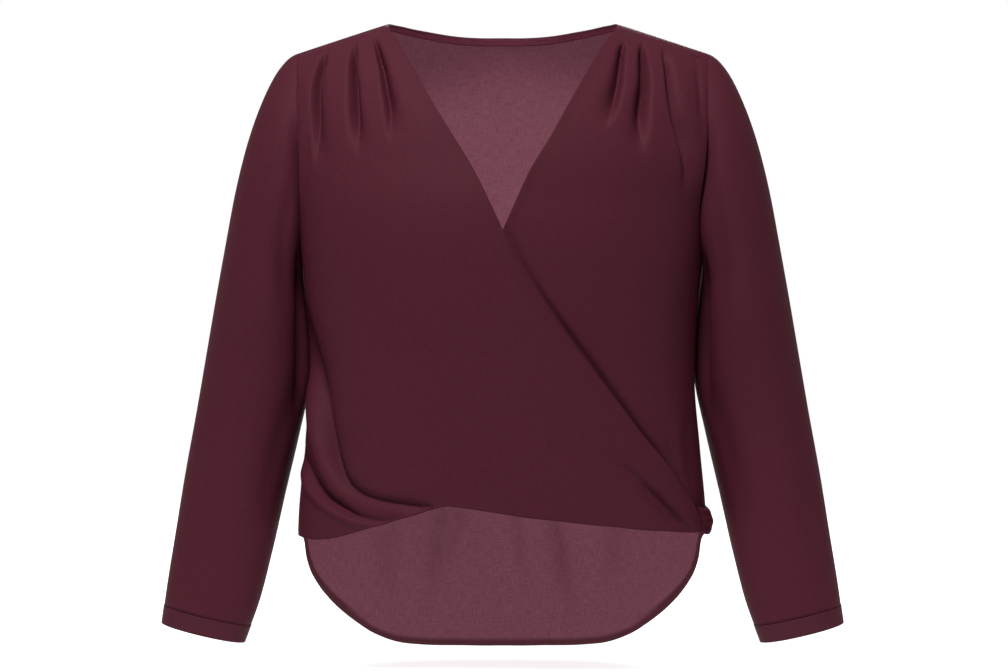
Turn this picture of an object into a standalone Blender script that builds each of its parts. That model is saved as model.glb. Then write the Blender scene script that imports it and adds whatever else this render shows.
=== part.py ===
"""A long-sleeved v-neck blouse with a crossed front and a long rounded back, empty but
filled out as if worn.

The torso is one smooth form. Each point of it has a place across (-1 at one side seam, 0 at
the middle, 1 at the other) and a run over the shoulder ridge (positive down the front,
negative down the back). Each body panel is a grid between its four edges on this form, with
its pleats and folds added along the form's normal. The sleeves are lofts from the armholes
through rings. +X is the wearer's left, -Y is the front, and the origin lies midway between
the two neck points. Lengths are in millimetres until a mesh is made.
"""

import bmesh
import bpy
import numpy as np

MM = 0.001

# Cloth
WALL = 1.5
SEAM_GAP = 0.6
CUFF_WALL = 2.0
BINDING_WALL = 1.2
BINDING_WIDTH = 7.5
BINDING_CLEAR = 0.7
WINE = (0.075, 0.017, 0.026, 1.0)
WINE_DARK = (0.058, 0.014, 0.021, 1.0)
CLOTH_ROUGHNESS = 0.7

# Shoulders
NECK_HALF = 120.0
OUTER_SLOPE = 0.33
INNER_SLOPE = 0.16
SLOPE_BLEND = 8.0
RIDGE_ROUND = 28.0
SHOULDER_REACH = 70.0
SEAM_RUN = 24.0
SHOULDER_TIP = 216.0
NECK_POINT = 119.0

# Torso sections: drop below the shoulder ridge, half width, depth in front, depth behind
SECTION_ROUNDNESS = 2.3
TORSO = (
    (0, 240, 100, 100),
    (60, 239, 108, 102),
    (120, 231, 122, 106),
    (180, 217, 133, 110),
    (221, 212, 137, 110),
    (300, 205, 135, 106),
    (355, 203.5, 132, 103),
    (420, 209, 130, 104),
    (505, 216, 128, 108),
    (560, 214, 124, 111),
    (700, 213, 118, 112),
)

# Armhole from the shoulder seam down: distance from the middle, run over the ridge
ARMHOLE_FRONT = ((216, 24), (215, 60), (213.5, 110), (211, 160), (209, 205), (212, 247))
ARMHOLE_BACK = (
    (216, 24), (216.5, 0), (216, -30), (214, -70), (212.5, -115), (211, -160), (209, -205),
    (212, -247),
)
ARMHOLE_SHARE = 0.47
ARMHOLE_ROWS = 13
SHOULDER_SHARE = 0.15
SIDE_HEM = -537.0
# How far each panel stops short of a side seam, as a place across
SIDE_INSET = 4e-4
SIDE_HEM_ACROSS = 215.0
# Millimetres that one step across is worth, for lengths along an edge
ACROSS_LENGTH = 330.0

# Back neck edge from one neck point to the middle: distance from the middle, run
NECK_BACK = ((119, 24), (120.5, 8), (117, -5), (105, -15), (74, -30.5), (40, -42), (0, -50))
# Rounded tail from the middle to the side seam: distance from the middle, height
TAIL = (
    (0, -671), (60, -670), (100, -668), (126, -662.5), (156, -645), (177, -627), (191, -611),
    (202, -592), (207.5, -577), (209.5, -561), (211, -547), (213, -539),
)

# Crossed edge of the over front, neck point to hip: across, height
WRAP_EDGE = (
    (-119, -10), (-95.6, -47), (-75, -85), (-52.5, -123), (-29, -162), (-12.8, -195),
    (0, -223), (14, -257), (34, -294), (55, -320), (87, -360), (118, -400), (142, -432),
    (163, -457), (179, -478), (192, -497), (201, -515), (207, -535),
)
# Crossed edge of the under front, neck point to where it stops inside: across, height
UNDER_EDGE = (
    (119, -10), (99, -37), (68, -92), (46, -132), (27.8, -162), (12.6, -195), (0, -223),
    (-39, -298), (-95, -372), (-137, -430), (-173, -474), (-200, -512),
)
# Hem of the over front, from the wearer's right to left: across, height
OVER_HEM = (
    (-216, -537), (-205, -540.5), (-188, -541), (-170, -538), (-146, -530.5), (-121, -522.5),
    (-90, -513), (-66, -505.5), (-57, -503.5), (-46, -504.5), (5, -512), (60, -519),
    (120, -526), (173, -532), (207, -535),
)
UNDER_HEM = ((-200, -512), (-62, -494), (46, -505), (127, -516), (188, -530), (215.5, -537))

# How far the crossed fronts stand out from and in from the form where they overlap
OVER_LIFT = 2.0
UNDER_DROP = 3.5
UNDER_DROP_AT_SWAG = 8.0
OVERLAP_TOP = -140.0
OVERLAP_FULL = -200.0

# Shoulder pleats: top across, top height, end across, end height, depth, inner width,
# outer width
PLEATS_OVER = (
    (-182, -28, -201, -150, 5.0, 10.0, 5.0),
    (-154, -22, -156, -150, 6.5, 8.0, 6.0),
    (-134, -15, -116, -140, 6.0, 6.0, 5.0),
)
PLEATS_UNDER = (
    (127, -15, 120, -115, 5.0, 7.0, 5.0),
    (146, -21, 153, -150, 7.0, 9.0, 6.0),
    (167, -26, 193, -195, 6.0, 6.0, 9.0),
)

# Swag folds at the wearer's right hip. Each is a step: the cloth inside the curve lies over
# the cloth outside it. Points are across, height.
SWAG_UPPER = (
    (-198, -318), (-188.5, -373), (-181, -409), (-176, -434), (-167, -461.5), (-154.7, -478.6),
    (-141, -488), (-124, -493), (-100, -497.5), (-66, -503),
)
SWAG_LOWER = (
    (-207, -436), (-201.6, -463), (-194, -478), (-183, -490.5), (-167, -502), (-150, -511),
    (-131, -516), (-112, -517),
)
# Rise inside, fall outside, width inside, width outside
SWAG_UPPER_SHAPE = (3.5, 6.5, 30.0, 11.0)
SWAG_LOWER_SHAPE = (2.0, 5.0, 12.0, 10.0)

# Soft folds that run to the wearer's left hip: start across, start height, end across, end
# height, depth, width
HIP_FOLDS_OVER = ((150, -466, 199, -529, 3.5, 6.0), (95, -440, 180, -522, 1.5, 12.0))
HIP_FOLDS_UNDER = ((196, -400, 201, -500, 3.0, 8.0), (172, -430, 196, -505, 2.0, 7.0))
TAIL_FOLDS = ((-60, -560, -72, -640, 2.5, 10.0), (14, -560, 15, -640, 2.0, 12.0),
              (68, -560, 64, -640, 2.5, 11.0), (-20, -200, -26, -420, 3.0, 22.0),
              (70, -230, 78, -470, 3.5, 20.0), (-95, -240, -88, -480, 3.5, 22.0))

# Loop of cloth at the wearer's left hip that holds the crossed edge: front end top and
# bottom, where it ends behind the side seam, and its bulge
LOOP_FRONT_TOP = (196.5, -500.0)
LOOP_FRONT_BOTTOM = (210.5, -538.0)
LOOP_SIDE_TOP = -508.0
LOOP_SIDE_BOTTOM = -542.0
LOOP_BACK_ACROSS = 1.12
LOOP_LIFT = 0.5
LOOP_BULGE = 4.6
LOOP_EDGE_ROUND = 0.5
LOOP_END_ROUND = 0.6
LOOP_END_REACH = 1.1

# Sleeve rings below the armhole: outer across, outer height, inner across, inner height,
# half depth, how far forward
SLEEVE = (
    (289, -204, 208.8, -292, 69, -14),
    (303.5, -282, 205.2, -327, 71, -18),
    (315.5, -350, 204.6, -376, 66, -20),
    (325.5, -408, 216, -431, 62, -20),
    (337, -474, 230.3, -494, 57, -14),
    (347, -540, 244.8, -561, 51, -5),
    (355, -595, 259.5, -618, 44, 4),
    (357.5, -614, 266, -636, 41, 6),
)
SLEEVE_ROUNDNESS = 2.15
# How strongly the sleeve head leaves the armhole and arrives at the first ring, at the top
# and at the underarm
HEAD_REACH = (128.0, 52.0)
HEAD_ARRIVE = (119.0, 48.0)
# Direction in which the sleeve head leaves the armhole: outwards at the top, how much less at
# the underarm, to the front and back, and downwards at the top
HEAD_OUT = 0.96
HEAD_TUCK = 0.8
HEAD_SPREAD = 0.26
HEAD_FALL = 0.25
CAP_ROWS = 7
CAP_CLEAR = 0.3
SLEEVE_ROWS = 10
CUFF_LENGTH = 19.0
CUFF_STEP = 1.0
CUFF_CLEAR = 0.3

# Grid sizes
OVER_COLUMNS = 30
OVER_SIDE_ROWS = 20
UNDER_COLUMNS = 18
UNDER_SIDE_ROWS = 10
BACK_COLUMNS = 24
BACK_SHOULDER_ROWS = 6
BACK_ARMHOLE_ROWS = 14
BACK_SIDE_ROWS = 13
LOOP_COLUMNS = 12
LOOP_ROWS = 8


def read_table(rows, where):
    """The other columns of a table at the places where in its first, joined smoothly."""
    table = np.array(rows, float)
    key = table[:, 0]
    value = table[:, 1:]
    slope = np.gradient(value, key, axis=0)
    where = np.clip(np.asarray(where, float), key[0], key[-1])
    i = np.clip(np.searchsorted(key, where) - 1, 0, len(key) - 2)
    span = (key[i + 1] - key[i])[..., None]
    t = (where - key[i])[..., None] / span
    start = value[i] * (1 + 2 * t) + slope[i] * span * t
    end = value[i + 1] * (3 - 2 * t) - slope[i + 1] * span * (1 - t)
    return start * (1 - t) ** 2 + end * t ** 2


def curve(points, first_step=1.0):
    """A smooth curve through points as a function of its share of the length, 0 to 1.
    first_step is how many millimetres one step of the first coordinate is worth."""
    points = np.array(points, float)
    weights = np.ones(points.shape[1])
    weights[0] = first_step
    steps = np.linalg.norm(np.diff(points, axis=0) * weights, axis=1)
    share = np.concatenate(([0.0], np.cumsum(steps))) / steps.sum()
    rows = np.column_stack((share, points))
    return lambda where: read_table(rows, where)


def rise(value, low, high):
    """A soft step from 0 at low to 1 at high."""
    t = np.clip((value - low) / (high - low), 0.0, 1.0)
    return t * t * (3 - 2 * t)


def unit(vectors):
    return vectors / np.linalg.norm(vectors, axis=-1, keepdims=True)


def ridge_height(x):
    """Height of the shoulder ridge, steeper outside the neck points than between them."""
    beyond = np.abs(x) - NECK_HALF
    mean = (OUTER_SLOPE + INNER_SLOPE) / 2
    change = (OUTER_SLOPE - INNER_SLOPE) / 2
    return -mean * beyond - change * (np.hypot(beyond, SLOPE_BLEND) - SLOPE_BLEND)


def drop_at(run):
    return np.hypot(run, RIDGE_ROUND) - RIDGE_ROUND


def torso(across, run):
    """Points of the form. Beyond a side seam the form goes on round the other side."""
    beyond = np.abs(across) > 1
    across = np.where(beyond, np.sign(across) * 2 - across, across)
    run = np.where(beyond, -run, run)
    drop = drop_at(run)
    width, front, behind = np.moveaxis(read_table(TORSO, drop), -1, 0)
    side = np.sin(across * np.pi / 2)
    flat = (1 - np.abs(side) ** SECTION_ROUNDNESS) ** (1 / SECTION_ROUNDNESS)
    depth = np.where(run > 0, front, behind) * flat * np.tanh(run / SHOULDER_REACH)
    x = width * side
    return np.stack((x, -depth, ridge_height(x) - drop), axis=-1)


def slopes(across, run):
    """How the form moves for a step across and for a step down the run."""
    step = 0.002
    sideways = (torso(across + step, run) - torso(across - step, run)) / (2 * step)
    down = torso(across, run + 0.5) - torso(across, run - 0.5)
    return sideways, down


def outward(across, run):
    sideways, down = slopes(across, run)
    return unit(np.cross(down, sideways))


def place_by_run(x, run):
    """Where on the form a point is, from its x and its run."""
    width = read_table(TORSO, drop_at(run))[..., 0]
    across = np.arcsin(np.clip(x / width, -1, 1)) * 2 / np.pi
    return np.stack((across, np.broadcast_to(run, across.shape)), axis=-1)


def place_by_height(x, z, front=1):
    """Where on the form a point is, from its x and height."""
    drop = ridge_height(x) - z
    run = front * np.sqrt((drop + RIDGE_ROUND) ** 2 - RIDGE_ROUND ** 2)
    return place_by_run(x, run)


def places_by_run(rows, side=1):
    table = np.array(rows, float)
    return place_by_run(side * table[:, 0], table[:, 1])


def places_by_height(rows, front=1):
    table = np.array(rows, float)
    return place_by_height(table[:, 0], table[:, 1], front)


def joined(first, share, second):
    """One edge made of two curves: the first up to share, the second from there."""
    def at(where):
        early = first(np.clip(where / share, 0, 1))
        late = second(np.clip((where - share) / (1 - share), 0, 1))
        return np.where((where < share)[..., None], early, late)
    return at


def between_edges(top, bottom, left, right, columns, rows):
    """Places of a grid whose four sides follow four edges."""
    s = columns[None, :, None]
    t = rows[:, None, None]
    across = (1 - t) * top(columns)[None] + t * bottom(columns)[None]
    down = (1 - s) * left(rows)[:, None] + s * right(rows)[:, None]
    first = (1 - s) * top(columns)[0] + s * top(columns)[-1]
    last = (1 - s) * bottom(columns)[0] + s * bottom(columns)[-1]
    return across + down - (1 - t) * first - t * last


def armhole_and_side_rows(armhole_rows, side_rows):
    """Grid rows closer together near the shoulder, with the underarm on one of them."""
    upper = ARMHOLE_SHARE * np.linspace(0, 1, armhole_rows + 1) ** 1.25
    lower = np.linspace(ARMHOLE_SHARE, 1, side_rows + 1)[1:]
    return np.concatenate((upper, lower))


def side_edge(armhole, side, front):
    """Armhole and side seam of one side, from the shoulder seam to the hem."""
    places = places_by_run(armhole, side)
    places[-1, 0] = side * (1 - SIDE_INSET)
    hem = place_by_height(side * SIDE_HEM_ACROSS, SIDE_HEM, front)
    hem[0] = side * (1 - SIDE_INSET)
    upper = curve(places, ACROSS_LENGTH)
    return joined(upper, ARMHOLE_SHARE, curve((places[-1], hem), ACROSS_LENGTH))


def along_line(x, z, line):
    """Share along a straight line and distance from it, positive to its right as it goes
    down."""
    x0, z0, x1, z1 = line
    length = np.hypot(x1 - x0, z1 - z0)
    share = ((x - x0) * (x1 - x0) + (z - z0) * (z1 - z0)) / length ** 2
    away = ((x - x0) * (z0 - z1) + (z - z0) * (x1 - x0)) / length
    return share, away


def pleats(x, z, rows):
    """Pressed troughs below the shoulder seam that fade downwards."""
    total = np.zeros_like(x)
    for x0, z0, x1, z1, depth, inner, outer in rows:
        share, away = along_line(x, z, (x0, z0, x1, z1))
        middle = away * np.sign(x0)
        spread = np.where(middle < 0, inner, outer) * (0.45 + 0.9 * np.clip(share, 0, 1.5))
        strength = rise(share, -0.02, 0.16) * (1 - rise(share, 0.35, 1.15))
        total -= depth * strength * np.exp(-(middle / spread) ** 2)
    return total


def soft_folds(x, z, rows):
    """Shallow troughs that fade at both ends."""
    total = np.zeros_like(x)
    for x0, z0, x1, z1, depth, width in rows:
        share, away = along_line(x, z, (x0, z0, x1, z1))
        strength = rise(share, -0.25, 0.35) * (1 - rise(share, 0.8, 1.2))
        total -= depth * strength * np.exp(-(away / width) ** 2)
    return total


def swag(x, z, points, shape):
    """A step fold along a curved line: the cloth inside the curve stands over the rest."""
    up, down, inside, outside = shape
    line = curve(points)(np.linspace(0, 1, 80))
    gap_x = x[..., None] - line[:, 0]
    gap_z = z[..., None] - line[:, 1]
    nearest = np.argmin(gap_x ** 2 + gap_z ** 2, axis=-1)
    direction = unit(np.gradient(line, axis=0))[nearest]
    gap_x = np.take_along_axis(gap_x, nearest[..., None], -1)[..., 0]
    gap_z = np.take_along_axis(gap_z, nearest[..., None], -1)[..., 0]
    away = -gap_x * direction[..., 1] + gap_z * direction[..., 0]
    share = nearest / (len(line) - 1)
    strength = rise(share, 0.0, 0.3) * (1 - rise(share, 0.8, 1.0))
    over = up * np.exp(-np.abs(away) / inside) * np.tanh(np.maximum(away, 0) / 3)
    under = down * np.exp(-np.abs(away) / outside) * np.tanh(np.maximum(-away, 0) / 3)
    return strength * (over - under)


def over_relief(places, points):
    x, z = points[..., 0], points[..., 2]
    lift = OVER_LIFT * rise(-z, -OVERLAP_TOP, -OVERLAP_FULL) * rise(places[..., 0], -1, -0.75)
    near_side = rise(places[..., 0], -1, -0.9)
    folds = swag(x, z, SWAG_UPPER, SWAG_UPPER_SHAPE) + swag(x, z, SWAG_LOWER, SWAG_LOWER_SHAPE)
    return (lift + pleats(x, z, PLEATS_OVER) + soft_folds(x, z, HIP_FOLDS_OVER)
            + near_side * folds)


def under_relief(places, points):
    x, z = points[..., 0], points[..., 2]
    covered = rise(-z, -OVERLAP_TOP, -OVERLAP_FULL) * rise(-places[..., 0], -1, -0.85)
    drop = UNDER_DROP + UNDER_DROP_AT_SWAG * rise(-x, 40, 130)
    near_side = rise(-places[..., 0], -1, -0.9)
    return (-covered * drop + pleats(x, z, PLEATS_UNDER)
            + near_side * soft_folds(x, z, HIP_FOLDS_UNDER))


def back_relief(places, points):
    return soft_folds(points[..., 0], points[..., 2], TAIL_FOLDS)


def panel_points(places, relief):
    across = np.clip(places[..., 0], SIDE_INSET - 1, 1 - SIDE_INSET)
    points = torso(across, places[..., 1])
    normal = outward(across, places[..., 1])
    return points + normal * relief(places, points)[..., None]


def cloth(name, points, material, wall=WALL, turned=False, tube=False):
    """A cloth wall whose outer face passes through a grid of points."""
    rows, columns = points.shape[:2]
    mesh = bpy.data.meshes.new(name)
    bm = bmesh.new()
    bmesh.ops.create_grid(bm, x_segments=columns - 1, y_segments=rows - 1, size=1.0)
    bm.verts.ensure_lookup_table()
    for vert, point in zip(bm.verts, points.reshape(-1, 3)):
        vert.co = point * MM
    if tube:
        bmesh.ops.remove_doubles(bm, verts=bm.verts, dist=1e-6)
    if turned:
        bmesh.ops.reverse_faces(bm, faces=bm.faces)
    bm.to_mesh(mesh)
    bm.free()
    mesh.shade_smooth()
    mesh.materials.append(material)
    obj = bpy.data.objects.new(name, mesh)
    collection.objects.link(obj)
    solid = obj.modifiers.new("Wall", "SOLIDIFY")
    solid.thickness = wall * MM
    solid.offset = -1.0
    return obj


def fabric(name, colour):
    material = bpy.data.materials.new(name)
    material.use_nodes = True
    shader = material.node_tree.nodes["Principled BSDF"]
    shader.inputs["Base Color"].default_value = colour
    shader.inputs["Roughness"].default_value = CLOTH_ROUGHNESS
    shader.inputs["Metallic"].default_value = 0.0
    return material


def seam_run(gap_side):
    return SEAM_RUN + gap_side * SEAM_GAP / 2


def front_top(side, first, last):
    """Shoulder seam of a front, just in front of the back panel's edge."""
    ends = np.array((first, last)) * side
    return curve(place_by_run(ends, np.array([seam_run(1)] * 2)), ACROSS_LENGTH)


def moved_to_seam(rows, gap_side):
    """An edge that starts on the shoulder seam, with its start moved to one side of it."""
    rows = [list(row) for row in rows]
    rows[0][1] = seam_run(gap_side)
    return rows


def build_over_front(material):
    left = side_edge(moved_to_seam(ARMHOLE_FRONT, 1), -1, 1)
    places = places_by_height(WRAP_EDGE)
    places[0] = place_by_run(np.array(-NECK_POINT), np.array(seam_run(1)))
    right = curve(places, ACROSS_LENGTH)
    hem = places_by_height(OVER_HEM)
    hem[0] = left(np.array([1.0]))[0]
    hem[-1] = places[-1]
    columns = np.linspace(0, 1, OVER_COLUMNS + 1) ** 1.15
    rows = armhole_and_side_rows(ARMHOLE_ROWS, OVER_SIDE_ROWS)
    grid = between_edges(front_top(-1, SHOULDER_TIP, NECK_POINT), curve(hem, ACROSS_LENGTH), left,
                         right, columns, rows)
    points = panel_points(grid, over_relief)
    return cloth("front_over", points, material, turned=True), points[:ARMHOLE_ROWS + 1, 0]


def build_under_front(material):
    right = side_edge(moved_to_seam(ARMHOLE_FRONT, 1), 1, 1)
    places = places_by_height(UNDER_EDGE)
    places[0] = place_by_run(np.array(NECK_POINT), np.array(seam_run(1)))
    left = curve(places, ACROSS_LENGTH)
    hem = places_by_height(UNDER_HEM)
    hem[0] = places[-1]
    hem[-1] = right(np.array([1.0]))[0]
    columns = 1 - np.linspace(1, 0, UNDER_COLUMNS + 1) ** 1.3
    rows = armhole_and_side_rows(ARMHOLE_ROWS, UNDER_SIDE_ROWS)
    grid = between_edges(front_top(1, NECK_POINT, SHOULDER_TIP), curve(hem, ACROSS_LENGTH), left,
                         right, columns, rows)
    points = panel_points(grid, under_relief)
    return cloth("front_under", points, material, turned=True), points[:ARMHOLE_ROWS + 1, -1]


def back_neck():
    """Back neck edge from the wearer's right neck point to the left one."""
    half = moved_to_seam(NECK_BACK, -1)
    places = places_by_run([(-x, run) for x, run in half[:-1]] + half[::-1])
    return curve(places, ACROSS_LENGTH), np.linspace(0, 1, BACK_COLUMNS + 1)


def back_side_edge(side):
    """Shoulder seam from the neck point outwards, then the armhole and the side seam."""
    ends = np.array((NECK_POINT, SHOULDER_TIP)) * side
    shoulder = curve(place_by_run(ends, np.array([seam_run(-1)] * 2)), ACROSS_LENGTH)
    rest = side_edge(moved_to_seam(ARMHOLE_BACK, -1), side, -1)
    return joined(shoulder, SHOULDER_SHARE, rest)


def build_back(material):
    neck, columns = back_neck()
    left = back_side_edge(-1)
    right = back_side_edge(1)
    tail = places_by_height([(-x, z) for x, z in TAIL[:0:-1]] + list(TAIL), -1)
    tail[0] = left(np.array([1.0]))[0]
    tail[-1] = right(np.array([1.0]))[0]
    shoulder_rows = np.linspace(0, SHOULDER_SHARE, BACK_SHOULDER_ROWS + 1)[:-1]
    lower_rows = armhole_and_side_rows(BACK_ARMHOLE_ROWS, BACK_SIDE_ROWS)
    rows = np.concatenate((shoulder_rows, SHOULDER_SHARE + (1 - SHOULDER_SHARE) * lower_rows))
    grid = between_edges(neck, curve(tail, ACROSS_LENGTH), left, right, columns, rows)
    points = panel_points(grid, back_relief)
    armhole = points[BACK_SHOULDER_ROWS:BACK_SHOULDER_ROWS + BACK_ARMHOLE_ROWS + 1]
    return cloth("back", points, material), armhole[:, 0], armhole[:, -1]


def build_neck_binding(material):
    """A strip on the inside of the back neck, level with the edge of the back panel."""
    neck, columns = back_neck()
    edge = neck(columns)
    sideways, down = slopes(edge[:, 0], edge[:, 1])
    normal = unit(np.cross(down, sideways))
    tangent = unit(np.gradient(torso(edge[:, 0], edge[:, 1]), axis=0))
    into_panel = np.cross(normal, tangent)
    gram = np.stack((np.sum(sideways ** 2, -1), np.sum(sideways * down, -1),
                     np.sum(down ** 2, -1)))
    first = np.sum(sideways * into_panel, -1)
    second = np.sum(down * into_panel, -1)
    scale = gram[0] * gram[2] - gram[1] ** 2
    step = np.stack(((gram[2] * first - gram[1] * second) / scale,
                     (gram[0] * second - gram[1] * first) / scale), -1)
    widths = np.linspace(0, BINDING_WIDTH, 3)[:, None, None]
    places = edge[None] + widths * step[None]
    inset = WALL + BINDING_CLEAR
    points = torso(places[..., 0], places[..., 1])
    points = points - inset * outward(places[..., 0], places[..., 1])
    return cloth("neck_binding", points, material, wall=BINDING_WALL)


def build_hip_loop(material):
    """A rounded fold that comes from behind the side seam over the end of the wrap."""
    start = places_by_height((LOOP_FRONT_TOP, LOOP_FRONT_BOTTOM))
    level = place_by_height(np.full(2, SIDE_HEM_ACROSS),
                            np.array((LOOP_SIDE_TOP, LOOP_SIDE_BOTTOM)))
    along = np.linspace(0, 1, LOOP_COLUMNS + 1)[None, :, None]
    level[:, 0] = LOOP_BACK_ACROSS
    height = (1 - np.cos(np.linspace(0, 1, LOOP_ROWS + 1) * np.pi)) / 2
    ends = start[:, None] * (1 - along) + level[:, None] * along
    places = ends[0] + (ends[1] - ends[0]) * height[:, None, None]
    round_off = np.sin(height * np.pi)[:, None] ** LOOP_EDGE_ROUND
    taper = np.sin(np.clip(along[..., 0] * LOOP_END_REACH, 0, 1) * np.pi) ** LOOP_END_ROUND
    lift = LOOP_LIFT + LOOP_BULGE * round_off * taper + WALL
    across, run = places[..., 0], places[..., 1]
    points = torso(across, run) + lift[..., None] * outward(across, run)
    return cloth("hip_loop", points, material, turned=True)


def ring(row, count_front, count_back):
    """One sleeve section: its outer point, round the front to the inner point and back."""
    outer_x, outer_z, inner_x, inner_z, half_depth, forward = row
    turn = np.concatenate((np.linspace(0, np.pi, count_front + 1),
                           np.linspace(np.pi, 2 * np.pi, count_back + 1)[1:]))
    power = 2 / SLEEVE_ROUNDNESS
    out = np.sign(np.cos(turn)) * np.abs(np.cos(turn)) ** power
    front = np.sign(np.sin(turn)) * np.abs(np.sin(turn)) ** power
    x = (outer_x + inner_x) / 2 + (outer_x - inner_x) / 2 * out
    z = (outer_z + inner_z) / 2 + (outer_z - inner_z) / 2 * out
    return np.stack((x, -forward - half_depth * front, z), -1)


def build_sleeve(side, front_edge, back_edge, material, cuff_material):
    """A sleeve and its cuff. The head of the sleeve leaves the armhole along the shoulder
    at the top and downwards under the arm."""
    armhole = np.concatenate((front_edge, back_edge[-2::-1]))
    armhole[0] = armhole[-1] = (front_edge[0] + back_edge[0]) / 2
    underarm = len(front_edge) - 1
    armhole[underarm] = (front_edge[-1] + back_edge[-1]) / 2
    armhole[:, 0] *= side
    rings = [ring(row, underarm, len(back_edge) - 1) for row in SLEEVE]
    middles = np.array(rings).mean(axis=1)
    lengths = np.linalg.norm(np.diff(middles, axis=0), axis=1)
    shares = np.concatenate(([0.0], np.cumsum(lengths))) / lengths.sum()
    stack = np.column_stack((shares, np.array(rings).reshape(len(rings), -1)))
    where = np.linspace(0, 1, SLEEVE_ROWS + 1)
    below = read_table(stack, where).reshape(len(where), -1, 3)
    turn = np.concatenate((np.linspace(0, np.pi, underarm + 1),
                           np.linspace(np.pi, 2 * np.pi, len(back_edge))[1:]))
    low = (1 - np.cos(turn)) / 2
    leave = np.stack((HEAD_OUT - HEAD_TUCK * low ** 1.4, -HEAD_SPREAD * np.sin(turn),
                      -HEAD_FALL - (1 - HEAD_FALL) * low), -1)
    leave = unit(leave) * (HEAD_REACH[0] + (HEAD_REACH[1] - HEAD_REACH[0]) * low)[:, None]
    reach = HEAD_ARRIVE[0] + (HEAD_ARRIVE[1] - HEAD_ARRIVE[0]) * low
    arrive = unit(below[1] - below[0]) * reach[:, None]
    t = np.linspace(0, 1, CAP_ROWS + 1)[:, None, None] ** 1.3
    start = armhole + unit(leave) * (SEAM_GAP + CAP_CLEAR * (1 - low))[:, None]
    head = (start * (1 + 2 * t) * (1 - t) ** 2 + leave * t * (1 - t) ** 2
            + below[0] * t ** 2 * (3 - 2 * t) - arrive * t ** 2 * (1 - t))
    points = np.concatenate((head[:-1], below))
    points[..., 0] *= side
    word = "left" if side > 0 else "right"
    sleeve = cloth("sleeve_" + word, points, material, turned=side < 0, tube=True)

    down = unit(points[-1] - points[-2])
    middle = points[-1].mean(axis=0)
    spoke = unit(points[-1] - middle)
    top = points[-1] + down * CUFF_CLEAR + spoke * CUFF_STEP
    levels = np.linspace(0, CUFF_LENGTH, 4)[:, None, None]
    cuff = cloth("cuff_" + word, top[None] + down[None] * levels, cuff_material,
                 wall=CUFF_WALL, turned=side < 0, tube=True)
    return sleeve, cuff


for old in list(bpy.data.objects):
    bpy.data.objects.remove(old, do_unlink=True)
collection = bpy.data.collections.new("v_neck_blouse")
bpy.context.scene.collection.children.link(collection)

crepe = fabric("wine crepe", WINE)
doubled = fabric("wine crepe, doubled", WINE_DARK)
over, over_armhole = build_over_front(crepe)
under, under_armhole = build_under_front(crepe)
back, back_armhole_right, back_armhole_left = build_back(crepe)
build_neck_binding(doubled)
build_hip_loop(crepe)
build_sleeve(-1, over_armhole, back_armhole_right, crepe, doubled)
build_sleeve(1, under_armhole, back_armhole_left, crepe, doubled)
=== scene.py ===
"""A long-sleeved v-neck blouse in wine crepe with a crossed front, empty but filled out as if
worn, in front of a white studio ground."""

import bpy
import numpy as np
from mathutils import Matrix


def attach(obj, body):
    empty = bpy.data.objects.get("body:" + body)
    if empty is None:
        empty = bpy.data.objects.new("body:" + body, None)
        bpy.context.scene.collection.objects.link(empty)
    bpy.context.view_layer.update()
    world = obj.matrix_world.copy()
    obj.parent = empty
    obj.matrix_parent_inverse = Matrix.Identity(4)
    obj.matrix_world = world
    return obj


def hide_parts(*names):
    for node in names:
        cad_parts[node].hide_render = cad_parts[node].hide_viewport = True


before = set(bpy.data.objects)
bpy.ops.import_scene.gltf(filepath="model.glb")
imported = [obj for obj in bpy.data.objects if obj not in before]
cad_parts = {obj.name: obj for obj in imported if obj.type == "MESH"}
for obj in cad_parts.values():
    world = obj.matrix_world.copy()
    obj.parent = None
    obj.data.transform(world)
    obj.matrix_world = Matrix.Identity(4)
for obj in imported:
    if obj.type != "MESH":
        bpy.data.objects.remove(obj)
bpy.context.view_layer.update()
bpy.ops.object.select_all(action="DESELECT")

# Back panel
# One piece of thin polyester crepe cut on the fold, with its shoulder seams brought forward
# over the ridge and a long rounded tail. The cloth is sheer, and its reverse, seen through the
# neck and below the front hem, is painted paler and greyer than its face and glows with that
# colour: painted light for the light from behind that comes through it.
# Lengths are in millimetres here, and MM turns them into metres. A place is a pair: across, from
# -1 at the wearer's right side seam to 1 at the left one, and the run over the ridge, positive
# down the front and negative down the back.
MM = 0.001
WALL = 0.9
SEAM_GAP = 0.06
# how far the panels' edges stay from the side seams, in units of a place's across
SIDE_INSET = 4e-4
# the length that one unit of a place's across spans in the middle of a panel
ACROSS_LENGTH = 330.0
# how far from the middle the side seams are at the hem
SIDE_SEAM_OUT = 215.0
NECK_HALF = 120.0
OUTER_SLOPE = 0.33
INNER_SLOPE = 0.16
SLOPE_BLEND = 8.0
CENTRE_ROUND = 15.0
RIDGE_ROUND = 28.0
SHOULDER_REACH = 70.0
SEAM_RUN = 24.0
SHOULDER_TIP = 216.0
NECK_POINT = 119.0
SECTION_ROUNDNESS = 2.3
# drop below the shoulder ridge, half width, depth in front, depth behind
TORSO = (
    (0, 240, 100, 100),
    (60, 239, 108, 102),
    (120, 231, 122, 106),
    (180, 217, 133, 110),
    (221, 212, 137, 110),
    (300, 205, 135, 106),
    (355, 203.5, 132, 103),
    (420, 209, 130, 104),
    (505, 216, 128, 108),
    (560, 214, 124, 111),
    (700, 213, 118, 112),
)
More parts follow.
